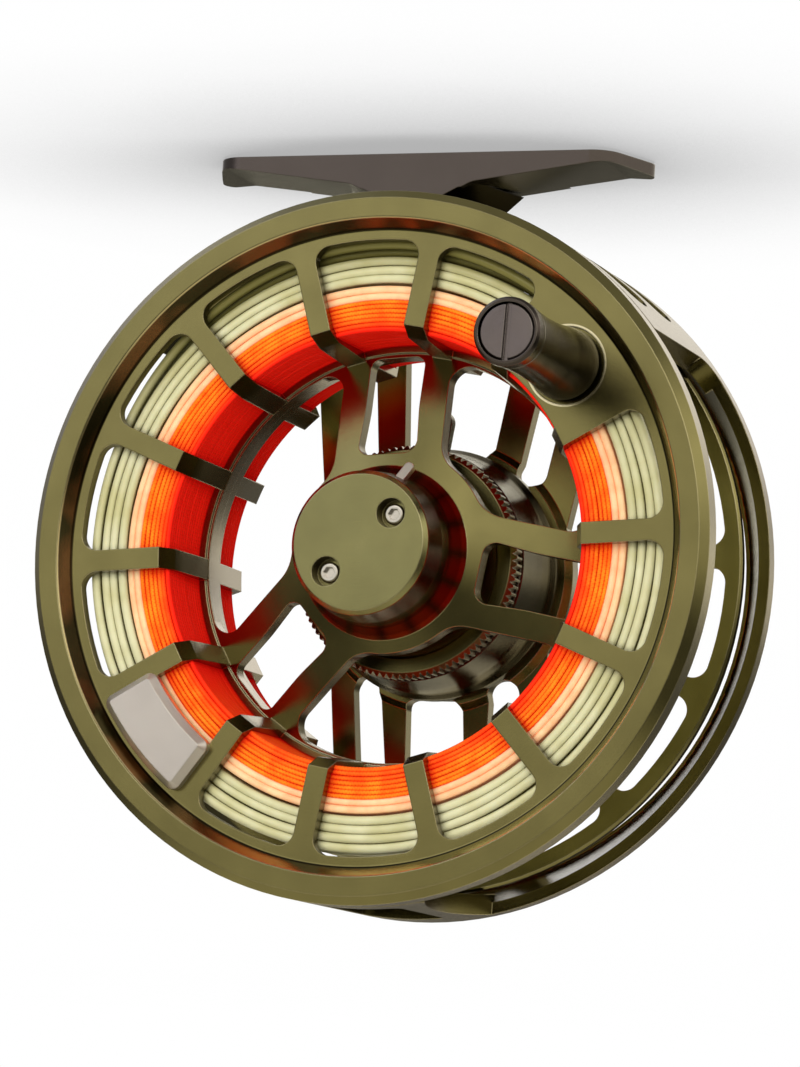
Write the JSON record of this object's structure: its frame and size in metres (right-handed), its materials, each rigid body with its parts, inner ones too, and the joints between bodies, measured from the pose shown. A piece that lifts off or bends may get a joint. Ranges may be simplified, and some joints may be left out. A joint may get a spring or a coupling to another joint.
{
  "type": "large-arbor fly fishing reel",
  "caption": "Large-arbor fly reel with open cage frame, spoked spool, handle, counterweight, sealed disc drag, reel foot and wound backing and fly line",
  "frame": {"origin": "the middle of the flat top face of the reel foot, where it lies against the rod; the spool axis passes through x 0, z -0.0563", "axes": "+Y runs along the spool axis from the handle side to the drag-knob side, +Z points from the spool axis through the foot to the rod (up), +X runs along the rod to the right as seen from the handle side"},
  "size_m": [0.098, 0.0645, 0.1053],
  "materials": {
    "olive_anodised": "satin, olive-green anodised",
    "black_nickel": "dark polished, black nickel",
    "silver_satin": "bead-blasted, clear anodised",
    "steel": "turned stainless steel",
    "steel_bright": "polished stainless steel",
    "dark_anodised": "gloss, dark grey anodised",
    "carbon": "woven carbon fibre friction disc",
    "seal_rubber": "matt nitrile rubber",
    "acetal": "matt acetal",
    "backing_orange": "braided polyester, orange",
    "running_peach": "coated line, peach",
    "fly_sage": "coated line, sage green"
  },
  "bodies": {
    "frame": {"frame": "olive_anodised", "reel_foot": "black_nickel", "foot_screws": "steel", "drag_housing": "dark_anodised", "housing_screws": "steel", "spindle": "steel", "spindle_nut": "steel", "steel_drag_washers": "steel", "drag_seal": "seal_rubber", "drag_spring_washer": "steel", "pawl_pin": "steel", "pawl_spring": "steel", "detent_ball": "steel_bright", "detent_spring": "steel", "knob_screw": "steel_bright"},
    "drive": {"drive_hub": "steel", "click_gear": "olive_anodised", "gear_backing_plate": "steel", "gear_screws": "steel", "front_bearing": "steel", "rear_bearing": "steel"},
    "spool": {"spool": "olive_anodised", "spool_cap": "olive_anodised", "cap_screws": "steel_bright", "counterweight": "silver_satin", "counterweight_screws": "steel", "handle_post": "steel", "handle_screw": "black_nickel", "backing_line": "backing_orange", "running_line": "running_peach", "fly_line": "fly_sage", "latch_spring": "steel"},
    "handle": {"handle_knob": "black_nickel", "handle_bushings": "acetal"},
    "latch": {"release_latch": "steel_bright"},
    "rotor": {"drag_rotor": "steel", "carbon_drag_washers": "carbon", "one_way_clutch": "steel"},
    "pressure": {"pressure_plate": "steel", "thrust_pins": "steel"},
    "knob": {"drag_knob": "olive_anodised", "drag_cam": "steel"},
    "pawl": {"click_pawl": "steel"}
  },
  "joints": [
    {"name": "spool_spin", "type": "hinge", "parent": "frame", "child": "drive", "pos_m": [0, -0.015, -0.0563], "axis": [0, 1, 0], "continuous": true},
    {"name": "spool_lift_off", "type": "slide", "parent": "drive", "child": "spool", "axis": [0, -1, 0], "range_m": [0, 0.04]},
    {"name": "handle_spin", "type": "hinge", "parent": "spool", "child": "handle", "pos_m": [0.02726, -0.015, -0.03158], "axis": [0, 1, 0], "continuous": true},
    {"name": "release_latch_press", "type": "slide", "parent": "spool", "child": "latch", "axis": [-0.4035, 0, -0.915], "range_m": [0, 0.001]},
    {"name": "drag_rotor_spin", "type": "hinge", "parent": "frame", "child": "rotor", "pos_m": [0, -0.015, -0.0563], "axis": [0, 1, 0], "continuous": true},
    {"name": "drag_knob_turn", "type": "hinge", "parent": "frame", "child": "knob", "pos_m": [0, -0.015, -0.0563], "axis": [0, 1, 0], "range_deg": [-160, 160]},
    {"name": "pressure_plate_travel", "type": "slide", "parent": "frame", "child": "pressure", "axis": [0, -1, 0], "range_m": [-0.00026, 0.00026]},
    {"name": "click_pawl_swing", "type": "hinge", "parent": "frame", "child": "pawl", "pos_m": [0.00282, 0.0027, -0.0362], "axis": [0, 1, 0], "range_deg": [-8, 8]}
  ],
  "couplings": [
    {"joint": "drag_rotor_spin", "follows": "spool_spin", "ratio": 1},
    {"joint": "pressure_plate_travel", "follows": "drag_knob_turn", "m_per_rad": 0.00009}
  ]
}
